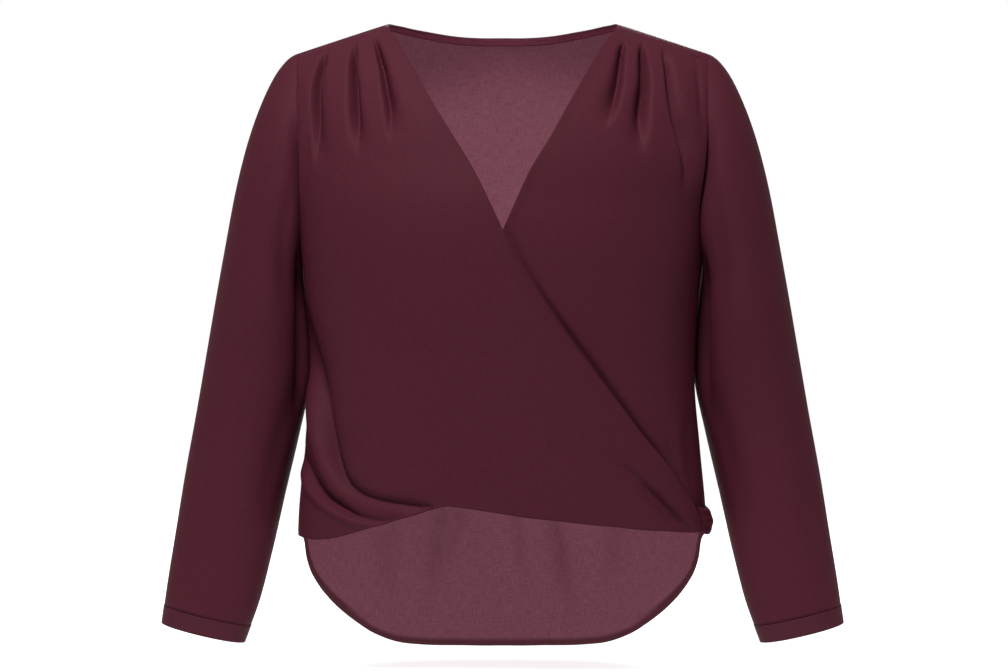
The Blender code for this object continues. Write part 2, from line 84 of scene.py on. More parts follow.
# distance from the middle, run over the ridge
ARMHOLE_FRONT = ((216, 24), (215, 60), (213.5, 110), (211, 160), (209, 205), (212, 247))
ARMHOLE_BACK = (
    (216, 24), (216.5, 0), (216, -30), (214, -70), (212.5, -115), (211, -160), (209, -205),
    (212, -247),
)
NECK_BACK = ((119, 24), (120.5, 8), (117, -5), (105, -15), (74, -30), (40, -41), (0, -46.5))
ARMHOLE_SHARE = 0.47
SHOULDER_SHARE = 0.15
SIDE_HEM = -537.0
# distance from the middle, height
TAIL = (
    (0, -671), (50, -670.5), (90, -669), (115, -665.5), (138, -656.5), (160, -641.5),
    (177, -626.5), (190, -611.5), (200, -596), (207, -580), (210.5, -565), (212, -551),
    (213, -539),
)
TAIL_HEM_WIDTH = 7.5
HEM_BLUR = 0.07
# painted shade in the back's folds: how much darker the cloth's colour and glow are painted
# for each millimetre of a fold's depth
FOLD_PAINTED_SHADE = 0.035
# x and height of points down the fold, depth, width towards the wearer's left and right
BACK_FOLDS = (
    (((-60, -490), (-66, -535), (-71, -568), (-78, -625)), 9.0, 4.5, 9.0),
    (((-35, -490), (-46, -532), (-57, -563), (-66, -605)), 6.0, 6.0, 4.0),
    (((6, -495), (14, -535), (20, -568), (24, -612)), 6.0, 4.0, 6.0),
    (((48, -495), (58, -540), (65, -579), (74, -640)), 10.0, 5.5, 9.0),
    (((118, -510), (122, -560), (120, -620)), 5.0, 9.0, 9.0),
    (((-120, -520), (-128, -570), (-126, -630)), 5.0, 9.0, 9.0),
    (((-20, -170), (-24, -300), (-28, -450)), 5.0, 16.0, 24.0),
    (((72, -210), (76, -350), (84, -490)), 7.0, 22.0, 12.0),
    (((-98, -220), (-90, -360), (-94, -500)), 7.0, 12.0, 20.0),
    (((168, -130), (150, -260), (126, -420)), 6.0, 12.0, 20.0),
    (((-176, -120), (-158, -250), (-138, -390)), 6.0, 20.0, 12.0),
    (((192, -330), (180, -420), (176, -500)), 4.0, 9.0, 14.0),
    (((-190, -350), (-182, -430), (-176, -510)), 4.0, 14.0, 9.0),
)
# share of the way in from a side seam over which the folds begin, and the run over the back
# within which they do
SIDE_FADE = 0.1
BACK_FADE = (40, 120)
# a soft fold's strength at its ends, and the shares of its length where it is full
FOLD_END = 0.25
FOLD_FULL = (0.4, 0.6)
LINE_STEPS = 70
ROW_CROWDING = 1.25
BACK_COLUMNS = 130
BACK_SHOULDER_ROWS = 26
BACK_ARMHOLE_ROWS = 70
BACK_SIDE_ROWS = 70


def read_table(rows, where):
    """The other columns of a table at the places where in its first, joined smoothly."""
    table = np.array(rows, float)
    key = table[:, 0]
    value = table[:, 1:]
    slope = np.gradient(value, key, axis=0)
    where = np.clip(np.asarray(where, float), key[0], key[-1])
    i = np.clip(np.searchsorted(key, where) - 1, 0, len(key) - 2)
    span = (key[i + 1] - key[i])[..., None]
    t = (where - key[i])[..., None] / span
    start = value[i] * (1 + 2 * t) + slope[i] * span * t
    end = value[i + 1] * (3 - 2 * t) - slope[i + 1] * span * (1 - t)
    return start * (1 - t) ** 2 + end * t ** 2


def curve(points, first_step=1.0):
    """A smooth curve through points as a function of its share of the length. first_step is
    how many millimetres one step of the first coordinate is worth."""
    points = np.array(points, float)
    weights = np.ones(points.shape[1])
    weights[0] = first_step
    steps = np.linalg.norm(np.diff(points, axis=0) * weights, axis=1)
    share = np.concatenate(([0.0], np.cumsum(steps))) / steps.sum()
    rows = np.column_stack((share, points))
    return lambda where: read_table(rows, where)


def rise(value, low, high):
    """A soft step from 0 at low to 1 at high."""
    t = np.clip((value - low) / (high - low), 0.0, 1.0)
    return t * t * (3 - 2 * t)


def unit(vectors):
    """Vectors of length 1 in the same directions."""
    return vectors / np.linalg.norm(vectors, axis=-1, keepdims=True)


def ridge_height(x):
    """Height of the shoulder ridge, steeper outside the neck points than between them."""
    beyond = np.hypot(x, CENTRE_ROUND) - NECK_HALF
    mean = (OUTER_SLOPE + INNER_SLOPE) / 2
    change = (OUTER_SLOPE - INNER_SLOPE) / 2
    return -mean * beyond - change * (np.hypot(beyond, SLOPE_BLEND) - SLOPE_BLEND)


def drop_at(run):
    """How far below the ridge a run over it ends."""
    return np.hypot(run, RIDGE_ROUND) - RIDGE_ROUND


def torso(across, run):
    """Points of the torso's form. Beyond a side seam it goes on round the other side."""
    beyond = np.abs(across) > 1
    across = np.where(beyond, np.sign(across) * 2 - across, across)
    run = np.where(beyond, -run, run)
    drop = drop_at(run)
    width, front, behind = np.moveaxis(read_table(TORSO, drop), -1, 0)
    side = np.sin(across * np.pi / 2)
    flat = (1 - np.abs(side) ** SECTION_ROUNDNESS) ** (1 / SECTION_ROUNDNESS)
    depth = np.where(run > 0, front, behind) * flat * np.tanh(run / SHOULDER_REACH)
    x = width * side
    return np.stack((x, -depth, ridge_height(x) - drop), axis=-1)


def slopes(across, run):
    """How the form moves for a step across and for a step down the run."""
    step = 0.002
    sideways = (torso(across + step, run) - torso(across - step, run)) / (2 * step)
    return sideways, torso(across, run + 0.5) - torso(across, run - 0.5)


def outward(across, run):
    """Directions straight out of the form."""
    sideways, down = slopes(across, run)
    return unit(np.cross(down, sideways))


def place_by_run(x, run):
    """Where on the form a point is, from its x and its run."""
    width = read_table(TORSO, drop_at(run))[..., 0]
    across = np.arcsin(np.clip(x / width, -1, 1)) * 2 / np.pi
    return np.stack((across, np.broadcast_to(run, across.shape)), axis=-1)


def place_by_height(x, z, front=1):
    """Where on the form a point is, from its x and height."""
    drop = ridge_height(x) - z
    run = front * np.sqrt((drop + RIDGE_ROUND) ** 2 - RIDGE_ROUND ** 2)
    return place_by_run(x, run)


def places_by_run(rows, side=1):
    """Places of a table of x and run, mirrored where side is -1."""
    table = np.array(rows, float)
    return place_by_run(side * table[:, 0], table[:, 1])


def places_by_height(rows, front=1):
    """Places of a table of x and height, on the back where front is -1."""
    table = np.array(rows, float)
    return place_by_height(table[:, 0], table[:, 1], front)


def joined(first, share, second):
    """One edge made of two curves: the first up to share, the second from there."""
    def at(where):
        early = first(np.clip(where / share, 0, 1))
        late = second(np.clip((where - share) / (1 - share), 0, 1))
        return np.where((where < share)[..., None], early, late)
    return at


def between_edges(top, bottom, left, right, columns, rows):
    """Places of a grid whose four sides follow four edges."""
    s = columns[None, :, None]
    t = rows[:, None, None]
    across = (1 - t) * top(columns)[None] + t * bottom(columns)[None]
    down = (1 - s) * left(rows)[:, None] + s * right(rows)[:, None]
    first = (1 - s) * top(columns)[0] + s * top(columns)[-1]
    last = (1 - s) * bottom(columns)[0] + s * bottom(columns)[-1]
    return across + down - (1 - t) * first - t * last


def armhole_and_side_rows(armhole_rows, side_rows):
    """Grid rows closer together near the shoulder, with the underarm on one of them."""
    upper = ARMHOLE_SHARE * np.linspace(0, 1, armhole_rows + 1) ** ROW_CROWDING
    lower = np.linspace(ARMHOLE_SHARE, 1, side_rows + 1)[1:]
    return np.concatenate((upper, lower))


def side_edge(armhole, side, front):
    """Armhole and side seam of one side, from the shoulder seam to the hem."""
    places = places_by_run(armhole, side)
    places[-1, 0] = side * (1 - SIDE_INSET)
    hem = place_by_height(side * SIDE_SEAM_OUT, SIDE_HEM, front)
    hem[0] = side * (1 - SIDE_INSET)
    side_seam = curve((places[-1], hem), ACROSS_LENGTH)
    return joined(curve(places, ACROSS_LENGTH), ARMHOLE_SHARE, side_seam)


def seam_run(gap_side):
    """Run of a panel's edge at the shoulder seam, 1 for a front and -1 for the back."""
    return SEAM_RUN + gap_side * SEAM_GAP / 2


def moved_to_seam(rows, gap_side):
    """An edge that starts on the shoulder seam, with its start moved to one side of it."""
    rows = [list(row) for row in rows]
    rows[0][1] = seam_run(gap_side)
    return rows


def beside(x, z, points):
    """For each place in the front view, its share along the nearest stretch of a line, its
    distance from it, positive towards the wearer's left of a line that runs down, and how far
    it lies past the line's ends."""
    line = curve(points)(np.linspace(0, 1, LINE_STEPS))
    gap_x = x[..., None] - line[:, 0]
    gap_z = z[..., None] - line[:, 1]
    nearest = np.argmin(gap_x ** 2 + gap_z ** 2, axis=-1)
    direction = unit(np.gradient(line, axis=0))[nearest]
    gap_x = np.take_along_axis(gap_x, nearest[..., None], -1)[..., 0]
    gap_z = np.take_along_axis(gap_z, nearest[..., None], -1)[..., 0]
    along = gap_x * direction[..., 0] + gap_z * direction[..., 1]
    away = -gap_x * direction[..., 1] + gap_z * direction[..., 0]
    beyond = np.abs(along) * ((nearest == 0) | (nearest == len(line) - 1))
    return nearest / (len(line) - 1), away, beyond


def soft_folds(x, z, rows):
    """Shallow troughs that fade at both ends."""
    total = np.zeros_like(x)
    for points, depth, left, right in rows:
        share, away, beyond = beside(x, z, points)
        width = np.where(away > 0, left, right)
        growing = FOLD_END + (1 - FOLD_END) * rise(share, 0, FOLD_FULL[0])
        strength = growing * (1 - (1 - FOLD_END) * rise(share, FOLD_FULL[1], 1))
        fade = np.exp(-(beyond / (2.0 * width)) ** 2)
        total -= depth * strength * fade * np.exp(-(away / width) ** 2)
    return total


def back_relief(places, points):
    """The folds of the back, which fade out at the side seams and at the shoulders."""
    x, z = points[..., 0], points[..., 2]
    near_side = rise(1 - np.abs(places[..., 0]), 0, SIDE_FADE)
    behind = rise(-places[..., 1], *BACK_FADE)
    return near_side * behind * soft_folds(x, z, BACK_FOLDS)


def panel_points(places, relief):
    """Points of a panel: the form at its places, moved out or in by its relief."""
    across = np.clip(places[..., 0], SIDE_INSET - 1, 1 - SIDE_INSET)
    points = torso(across, places[..., 1])
    normal = outward(across, places[..., 1])
    return points + normal * relief(places, points)[..., None]


def cloth_size(points):
    """Distances in metres along the middle row and the middle column of a grid."""
    row = points[len(points) // 2]
    column = points[:, points.shape[1] // 2]
    along = np.concatenate(([0], np.cumsum(np.linalg.norm(np.diff(row, axis=0), axis=1))))
    down = np.concatenate(([0], np.cumsum(np.linalg.norm(np.diff(column, axis=0), axis=1))))
    return along * MM, down * MM


def cloth(name, points, finishes, turned=False, tube=False, wall=WALL, doubled_and_painted_shade=None,
          grain=None):
    """A sheet of cloth: a grid primitive whose points are laid on the form, with the grain
    as its UV map in metres, then a wall given by Solidify. doubled_and_painted_shade marks
    turned edges, which are darker, and painted shade in folds and along the binding's top."""
    rows, columns = points.shape[:2]
    bpy.ops.mesh.primitive_grid_add(
        x_subdivisions=columns - 1, y_subdivisions=rows - 1, size=1.0)
    piece = bpy.context.object
    piece.name = name
    mesh = piece.data
    mesh.name = name
    mesh.vertices.foreach_set("co", (points * MM).astype(np.float32).ravel())
    if grain is None:
        along, down = cloth_size(points)
        grain = np.stack(np.broadcast_arrays(along[None, :], down[:, None]), -1)
    corners = np.empty(len(mesh.loops), np.int32)
    mesh.loops.foreach_get("vertex_index", corners)
    flat = grain.reshape(-1, 2).astype(np.float32)
    mesh.uv_layers[0].data.foreach_set("uv", flat[corners].ravel())
    mark = mesh.attributes.new("doubled_and_painted_shade", "FLOAT", "POINT")
    if doubled_and_painted_shade is not None:
        mark.data.foreach_set("value", doubled_and_painted_shade.astype(np.float32).ravel())
    bpy.ops.object.mode_set(mode="EDIT")
    bpy.ops.mesh.select_all(action="SELECT")
    if tube:
        bpy.ops.mesh.remove_doubles(threshold=1e-6)
    if turned:
        bpy.ops.mesh.flip_normals()
    bpy.ops.object.mode_set(mode="OBJECT")
    bpy.ops.object.shade_smooth()
    for finish in finishes:
        mesh.materials.append(finish)
    solid = piece.modifiers.new("Wall", "SOLIDIFY")
    solid.thickness = wall * MM
    solid.offset = -1.0
    solid.material_offset = len(finishes) - 1
    bpy.ops.object.modifier_apply(modifier=solid.name)
    bpy.ops.object.select_all(action="DESELECT")
    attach(piece, "root")
    return piece


def linear(code):
    """A six-digit sRGB hex colour as linear red, green, blue and alpha."""
    values = [int(code[i:i + 2], 16) / 255 for i in (0, 2, 4)]
    return tuple(v / 12.92 if v <= 0.04045 else ((v + 0.055) / 1.055) ** 2.4
                 for v in values) + (1.0,)


def add_node(tree, kind, inputs, **settings):
    """A node with its settings; inputs that are given a socket are linked to it."""
    node = tree.nodes.new(kind)
    for name, value in settings.items():
        setattr(node, name, value)
    for name, value in inputs.items():
        if isinstance(value, bpy.types.NodeSocket):
            tree.links.new(value, node.inputs[name])
        else:
            node.inputs[name].default_value = value
    return node


# Polyester crepe georgette, plain woven from twisted yarn: a matt, faintly pebbled face with
# fine slubs along both threads and a soft bloom where it turns away. The threads are 0.25 mm
# apart, too fine to show, so the slubs are drawn 1 mm wide.
SLUB_WIDTH = 0.0010
SLUB_LENGTH = 0.011
PEBBLE = 0.0016
PEBBLE_SHARE = 0.7
MEAN_HEIGHT = 1 + PEBBLE_SHARE / 2
BUMP_HEIGHT = 0.0004
GLOSS = 0.04
BLOOM_SPREAD = 0.45
BLOOM_COLOUR = "8c2a40"


def crepe(name, light, dark, doubled_and_shade_colour, roughness, sheen, grain_strength, bump):
    """A crepe finish: light on the slubs and dark between them, doubled_and_shade_colour where
    the cloth lies double and where painted shade is marked, sheen for its soft bloom and bump for
    how pebbled it feels."""
    finish = bpy.data.materials.new(name)
    finish.use_nodes = True
    tree = finish.node_tree
    shader = tree.nodes["Principled BSDF"]
    place = add_node(tree, "ShaderNodeUVMap", {})
    warp_map = add_node(tree, "ShaderNodeMapping", {
        "Vector": place.outputs["UV"], "Scale": (1 / SLUB_WIDTH, 1 / SLUB_LENGTH, 1)})
    weft_map = add_node(tree, "ShaderNodeMapping", {
        "Vector": place.outputs["UV"], "Scale": (1 / SLUB_LENGTH, 1 / SLUB_WIDTH, 1)})
    warp = add_node(tree, "ShaderNodeTexNoise", {
        "Vector": warp_map.outputs["Vector"], "Scale": 1.0, "Detail": 2.0},
        noise_dimensions="2D")
    weft = add_node(tree, "ShaderNodeTexNoise", {
        "Vector": weft_map.outputs["Vector"], "Scale": 1.0, "Detail": 2.0},
        noise_dimensions="2D")
    pebble = add_node(tree, "ShaderNodeTexNoise", {
        "Vector": place.outputs["UV"], "Scale": 1 / PEBBLE, "Detail": 3.0},
        noise_dimensions="2D")
    threads = add_node(tree, "ShaderNodeMath", {
        0: warp.outputs["Fac"], 1: weft.outputs["Fac"]}, operation="ADD")
    height = add_node(tree, "ShaderNodeMath", {
        0: pebble.outputs["Fac"], 1: PEBBLE_SHARE, 2: threads.outputs["Value"]},
        operation="MULTIPLY_ADD")
    tone = add_node(tree, "ShaderNodeMapRange", {
        "Value": height.outputs["Value"], "From Min": MEAN_HEIGHT - grain_strength,
        "From Max": MEAN_HEIGHT + grain_strength})
    colour = add_node(tree, "ShaderNodeMix", {
        "Factor": tone.outputs["Result"], 6: linear(dark), 7: linear(light)},
        data_type="RGBA")
    mark = add_node(tree, "ShaderNodeAttribute", {}, attribute_name="doubled_and_painted_shade")
    whole = add_node(tree, "ShaderNodeMix", {
        "Factor": mark.outputs["Fac"], 6: colour.outputs[2], 7: linear(doubled_and_shade_colour)},
        data_type="RGBA")
    tree.links.new(whole.outputs[2], shader.inputs["Base Color"])
    rough = add_node(tree, "ShaderNodeBump", {
        "Height": height.outputs["Value"], "Strength": bump, "Distance": BUMP_HEIGHT})
    tree.links.new(rough.outputs["Normal"], shader.inputs["Normal"])
    shader.inputs["Roughness"].default_value = roughness
    shader.inputs["Specular IOR Level"].default_value = GLOSS
    shader.inputs["Sheen Weight"].default_value = sheen
    shader.inputs["Sheen Roughness"].default_value = BLOOM_SPREAD
    shader.inputs["Sheen Tint"].default_value = linear(BLOOM_COLOUR)
    return finish


# The face: deep matt wine, hardly darker where an edge is turned
crepe_face = crepe("wine polyester crepe, face", "421a24", "3a161f", "3c1720",
                   roughness=0.62, sheen=0.06, grain_strength=0.55, bump=0.3)
# The reverse, with painted light: its colour is painted greyer and paler and it glows with
# that colour, painted light for the light from behind that comes through its one sheer layer;
# its glow is nearly as dark as the face where it lies double
PAINTED_THROUGH_GLOW = 1.05
crepe_reverse = crepe("wine polyester crepe, sheer reverse", "57333d", "492831", "35191f",
                      roughness=0.7, sheen=0.05, grain_strength=0.4, bump=0.35)
# painted glow: the reverse's own colour is fed into its emission
reverse_painted_glow = crepe_reverse.node_tree.nodes["Principled BSDF"]
cloth_colour = reverse_painted_glow.inputs["Base Color"].links[0].from_socket
crepe_reverse.node_tree.links.new(cloth_colour, reverse_painted_glow.inputs["Emission Color"])
reverse_painted_glow.inputs["Emission Strength"].default_value = PAINTED_THROUGH_GLOW


def edge_band(points, edge_rows, width):
    """1 within width of an edge of a grid, and 0 past it. edge_rows are the edge's points."""
    gap = np.linalg.norm(points[:, :, None] - edge_rows[None, None], axis=-1).min(axis=-1)
    return 1 - rise(gap, width * (1 - HEM_BLUR), width * (1 + HEM_BLUR))


def back_neck(count):
    """Places along the back neck edge, wearer's right to left."""
    half = moved_to_seam(NECK_BACK, -1)
    places = places_by_run([(-x, run) for x, run in half[:-1]] + half[::-1])
    return curve(places, ACROSS_LENGTH), np.linspace(0, 1, count + 1)


def back_side_edge(side):
    """Shoulder seam from the neck point outwards, then the armhole and the side seam."""
    ends = np.array((NECK_POINT, SHOULDER_TIP)) * side
    shoulder = curve(place_by_run(ends, np.array([seam_run(-1)] * 2)), ACROSS_LENGTH)
    rest = side_edge(moved_to_seam(ARMHOLE_BACK, -1), side, -1)
    return joined(shoulder, SHOULDER_SHARE, rest)


def grid_of_back():
    """Places of the back panel from the neck and the shoulders down to the tail."""
    neck, columns = back_neck(BACK_COLUMNS)
    left = back_side_edge(-1)
    right = back_side_edge(1)
    tail = places_by_height([(-x, z) for x, z in TAIL[:0:-1]] + list(TAIL), -1)
    tail[0] = left(np.array([1.0]))[0]
    tail[-1] = right(np.array([1.0]))[0]
    shoulder_rows = np.linspace(0, SHOULDER_SHARE, BACK_SHOULDER_ROWS + 1)[:-1]
    lower_rows = armhole_and_side_rows(BACK_ARMHOLE_ROWS, BACK_SIDE_ROWS)
    rows = np.concatenate((shoulder_rows, SHOULDER_SHARE + (1 - SHOULDER_SHARE) * lower_rows))
    return between_edges(neck, curve(tail, ACROSS_LENGTH), left, right, columns, rows)


def grain_of(places):
    """UV map in metres with the straight grain down the panel's middle."""
    return np.stack((places[..., 0] * ACROSS_LENGTH * MM, places[..., 1] * MM), -1)


back_places = grid_of_back()
back_points = panel_points(back_places, back_relief)
back_hem = edge_band(back_points, back_points[-1], TAIL_HEM_WIDTH)
# painted shade: the back's colour and glow are darkened along its folds, the more the deeper they
# are
back_painted_fold_shade = -FOLD_PAINTED_SHADE * back_relief(back_places, back_points)
back = cloth("back_panel", back_points, (crepe_face, crepe_reverse),
             doubled_and_painted_shade=np.clip(back_hem + back_painted_fold_shade, 0, 1),
             grain=grain_of(back_places))
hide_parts("back")
first_row = BACK_SHOULDER_ROWS
back_armholes = back_points[first_row:first_row + BACK_ARMHOLE_ROWS + 1]

# Under front
# The wearer's left front, of the same crepe, with three pleats pressed into the shoulder
# seam. It crosses under the other front and stops inside it.
# x and height, here and in the other edges of the fronts
UNDER_EDGE = (
    (119, -10), (99, -37), (68, -92), (46, -132), (27.8, -162), (12.6, -195), (0, -223),
    (-39, -298), (-95, -372), (-137, -430), (-173, -474), (-200, -512),
)
UNDER_HEM = ((-200, -512), (-62, -494), (46, -505), (127, -516), (188, -530), (215.5, -537))
UNDER_DROP = 3.5
# more room below the step folds of the other front, from one distance from the middle to the
# next
UNDER_DROP_AT_SWAG = 20.0
SWAG_REACH = (40, 130)
OVERLAP_TOP = -140.0
OVERLAP_FULL = -200.0
UNDER_BLEND = 0.15
EDGE_HEM_WIDTH = 9.0
# a pleat's width at its start and what its length adds, the shares of its length where it
# rises and fades, its fade past its ends in millimetres, and the power that rounds its trough
PLEAT_OPENING = (0.3, 1.05)
PLEAT_RISE = (0.03, 0.17)
PLEAT_FADE = 0.55
PLEAT_PAST_END = 9.0
PLEAT_POWER = 1.7
# x and height of points down the fold, depth, width towards the wearer's left and right
PLEATS_UNDER = (
    (((127, -17), (126, -36), (124, -53), (121, -72), (115, -95), (101, -121)), 13.0, 2.5, 10.0),
    (((144, -18), (147.5, -36), (148.5, -52), (149, -68), (147, -86), (144, -120), (141, -150)),
     17.0, 4.5, 9.0),
    (((166, -22), (170, -44), (173, -72), (179, -106), (185.5, -126), (190.5, -152),
      (190, -190)), 14.0, 11.0, 3.5),
)
# the sixth is the trough where the crossed edge of the other front presses on it
UNDER_FOLDS = (
    (((203, -36), (206, -75), (208, -118)), 2.0, 3.0, 4.0),
    (((196, -395), (199, -450), (203, -505)), 3.0, 7.0, 8.0),
    (((168, -425), (181, -465), (196, -507)), 2.2, 6.0, 6.0),
    (((150, -440), (168, -474), (184, -500)), 1.6, 5.0, 6.0),
    (((80, -310), (88, -345), (99, -372)), 1.5, 6.0, 8.0),
    (((-2, -214), (20, -259), (57, -315), (91, -360), (121, -400), (145, -432), (166, -457),
      (190, -490), (206, -520), (216, -555)), 6.0, 3.6, 4.0),
    (((196, -250), (192, -330), (190, -400)), 2.0, 10.0, 14.0),
)
COLUMN_CROWDING = 1.1
UNDER_COLUMNS = 140
FRONT_ARMHOLE_ROWS = 80
UNDER_SIDE_ROWS = 90


def pleats(x, z, rows):
    """Pressed pleats below the shoulder seam: one side steep, the other soft, fading
    downwards and widening as they open."""
    total = np.zeros_like(x)
    for points, depth, left, right in rows:
        share, away, beyond = beside(x, z, points)
        opening = PLEAT_OPENING[0] + PLEAT_OPENING[1] * share
        width = np.where(away > 0, left, right) * opening
        strength = rise(share, *PLEAT_RISE) * (1 - rise(share, PLEAT_FADE, 1.0))
        fade = np.exp(-(beyond / PLEAT_PAST_END) ** 2)
        total -= depth * strength * fade * np.exp(-np.abs(away / width) ** PLEAT_POWER)
    return total


def under_relief(places, points):
    """Pleats and folds of the under front, which lies back where the other covers it."""
    x, z = points[..., 0], points[..., 2]
    covered = rise(-z, -OVERLAP_TOP, -OVERLAP_FULL) * rise(-places[..., 0], -1, UNDER_BLEND - 1)
    drop = UNDER_DROP + UNDER_DROP_AT_SWAG * rise(-x, *SWAG_REACH)
    near_side = rise(-places[..., 0], -1, SIDE_FADE - 1)
    return (-covered * drop + pleats(x, z, PLEATS_UNDER)
            + near_side * soft_folds(x, z, UNDER_FOLDS))


def front_top(side, first, last):
    """Shoulder seam of a front, just in front of the back panel's edge."""
    ends = np.array((first, last)) * side
    return curve(place_by_run(ends, np.array([seam_run(1)] * 2)), ACROSS_LENGTH)


def grid_of_under():
    """Places of the under front from its crossing edge to the left armhole and side."""
    right = side_edge(moved_to_seam(ARMHOLE_FRONT, 1), 1, 1)
    places = places_by_height(UNDER_EDGE)
    places[0] = place_by_run(np.array(NECK_POINT), np.array(seam_run(1)))
    hem = places_by_height(UNDER_HEM)
    hem[0] = places[-1]
    hem[-1] = right(np.array([1.0]))[0]
    columns = 1 - np.linspace(1, 0, UNDER_COLUMNS + 1) ** COLUMN_CROWDING
    rows = armhole_and_side_rows(FRONT_ARMHOLE_ROWS, UNDER_SIDE_ROWS)
    return between_edges(front_top(1, NECK_POINT, SHOULDER_TIP), curve(hem, ACROSS_LENGTH),
                         curve(places, ACROSS_LENGTH), right, columns, rows)


under_places = grid_of_under()
under_points = panel_points(under_places, under_relief)
under_hem = edge_band(under_points, under_points[:, 0], EDGE_HEM_WIDTH)
under = cloth("under_front", under_points, (crepe_face, crepe_reverse), turned=True,
              doubled_and_painted_shade=under_hem, grain=grain_of(under_places))
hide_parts("front_under")

# Over front
# The wearer's right front, pleated at the shoulder too. Its long edge crosses to the left
# hip, and its spare cloth swings round the right hip in two step folds.
WRAP_EDGE = (
    (-119, -10), (-95.6, -47), (-75, -85), (-52.5, -123), (-29, -162), (-12.8, -195),
    (0, -223), (14, -257), (34, -294), (55, -320), (87, -360), (118, -400), (142, -432),
    (163, -457), (179, -478), (192, -497), (201, -515), (207, -535),
)
OVER_HEM = (
    (-216, -537), (-205, -540.5), (-188, -541), (-170, -538), (-146, -530.5), (-121, -522.5),
    (-90, -513), (-66, -505.5), (-57, -503.5), (-46, -504.5), (5, -512), (60, -519),
    (120, -526), (173, -532), (207, -535),
)
OVER_LIFT = 3.5
OVER_BLEND = 0.25
# its hem is turned once only, so it is half as dark on the reverse
EDGE_SHADE = 0.5
PLEATS_OVER = (
    (((-182, -25), (-191, -45), (-196, -65), (-197, -85), (-196.5, -105), (-195, -125),
      (-190, -165)), 13.0, 9.0, 3.0),
    (((-153, -19), (-156, -37), (-156.5, -52), (-155, -73), (-154, -93), (-151.5, -114),
      (-147, -150)), 16.0, 6.0, 4.5),
    (((-135, -14), (-130.5, -36), (-126, -53), (-122, -74), (-118, -95), (-114, -137)), 13.0,
     7.5, 2.4),
)
SWAG_UPPER = (
    (-209.5, -285), (-204, -319), (-196, -368), (-189, -407), (-183, -433), (-173.5, -461),
    (-161, -480), (-145.5, -490), (-127, -495.5), (-99, -500), (-60, -505),
)
SWAG_LOWER = (
    (-211, -436), (-204, -464), (-196, -481), (-185, -494), (-169, -505), (-151, -514),
    (-132, -519), (-117, -519.5), (-95, -514),
)
# depth, ridge height, then the width inside the curve and outside it where it starts and
# where it ends
SWAG_UPPER_SHAPE = (19.0, 4.0, (13.0, 4.0), (2.5, 8.0))
SWAG_LOWER_SHAPE = (12.0, 3.0, (10.0, 3.0), (8.0, 2.5))
# shares of a step fold's length: where it is full, where its widths change and how much it
# eases there, and where it fades; then its fade past its ends
SWAG_RISE = 0.35
SWAG_TURN = (0.5, 0.8)
SWAG_EASE = 0.6
SWAG_FADE = 0.9
SWAG_PAST_END = 12.0
# powers that round its trough inside and outside, and its crest's distance and width as
# multiples of the outside width
SWAG_POWERS = (1.1, 1.6)
SWAG_CREST = (2.6, 1.5)
# the first is the deep fold by the gather; its bottom goes into the under front
OVER_FOLDS = (
    (((136, -474), (154, -492), (170, -508), (184, -522), (197, -535)), 8.5, 3.0, 9.0),
    (((170, -462), (182, -480), (191, -497), (200, -517)), 2.0, 2.5, 4.0),
    (((95, -440), (140, -485), (182, -524)), 1.6, 10.0, 12.0),
    (((30, -420), (90, -470), (150, -520)), 1.2, 16.0, 16.0),
    (((-150, -190), (-140, -300), (-100, -400)), 1.6, 22.0, 26.0),
    (((-196, -60), (-202, -110), (-204, -170)), 2.0, 5.0, 5.0),
)
OVER_COLUMNS = 190
OVER_SIDE_ROWS = 160


def swag(x, z, points, shape):
    """The trough of a step fold along a curved line: soft on the side where the cloth rolls
    down into it, steep on the side where the next step stands up."""
    depth, ridge, starts, ends = shape
    share, away, beyond = beside(x, z, points)
    turned = rise(share, *SWAG_TURN)
    inside = starts[0] + (ends[0] - starts[0]) * turned
    outside = starts[1] + (ends[1] - starts[1]) * turned
    strength = (rise(share, 0.0, SWAG_RISE) * (1 - SWAG_EASE * turned)
                * (1 - rise(share, SWAG_FADE, 1.0)))
    trough = np.where(away > 0, np.exp(-(np.abs(away) / inside) ** SWAG_POWERS[0]),
                      np.exp(-(np.abs(away) / outside) ** SWAG_POWERS[1]))
    from_crest = (-away - SWAG_CREST[0] * outside) / (SWAG_CREST[1] * outside)
    crest = np.exp(-from_crest ** 2) * (away < 0)
    fade = np.exp(-(beyond / SWAG_PAST_END) ** 2)
    return strength * fade * (ridge * crest - depth * trough)


def over_relief(places, points):
    """Pleats, step folds and soft folds of the over front, which stands off the other one."""
    x, z = points[..., 0], points[..., 2]
    overlap = rise(-z, -OVERLAP_TOP, -OVERLAP_FULL) * rise(places[..., 0], -1, OVER_BLEND - 1)
    near_side = rise(places[..., 0], -1, SIDE_FADE - 1)
    folds = swag(x, z, SWAG_UPPER, SWAG_UPPER_SHAPE) + swag(x, z, SWAG_LOWER, SWAG_LOWER_SHAPE)
    return (OVER_LIFT * overlap + pleats(x, z, PLEATS_OVER)
            + near_side * (folds + soft_folds(x, z, OVER_FOLDS)))


def grid_of_over():
    """Places of the over front from the right armhole and side to its crossing edge."""
    left = side_edge(moved_to_seam(ARMHOLE_FRONT, 1), -1, 1)
    places = places_by_height(WRAP_EDGE)
    places[0] = place_by_run(np.array(-NECK_POINT), np.array(seam_run(1)))
    hem = places_by_height(OVER_HEM)
    hem[0] = left(np.array([1.0]))[0]
    hem[-1] = places[-1]
    columns = np.linspace(0, 1, OVER_COLUMNS + 1)
    rows = armhole_and_side_rows(FRONT_ARMHOLE_ROWS, OVER_SIDE_ROWS)
    return between_edges(front_top(-1, SHOULDER_TIP, NECK_POINT), curve(hem, ACROSS_LENGTH), left,
                         curve(places, ACROSS_LENGTH), columns, rows)


over_places = grid_of_over()
over_points = panel_points(over_places, over_relief)
over_hem = edge_band(over_points, over_points[:, -1], EDGE_HEM_WIDTH)
over = cloth("over_front", over_points, (crepe_face, crepe_reverse), turned=True,
             doubled_and_painted_shade=over_hem * EDGE_SHADE, grain=grain_of(over_places))
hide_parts("front_over")

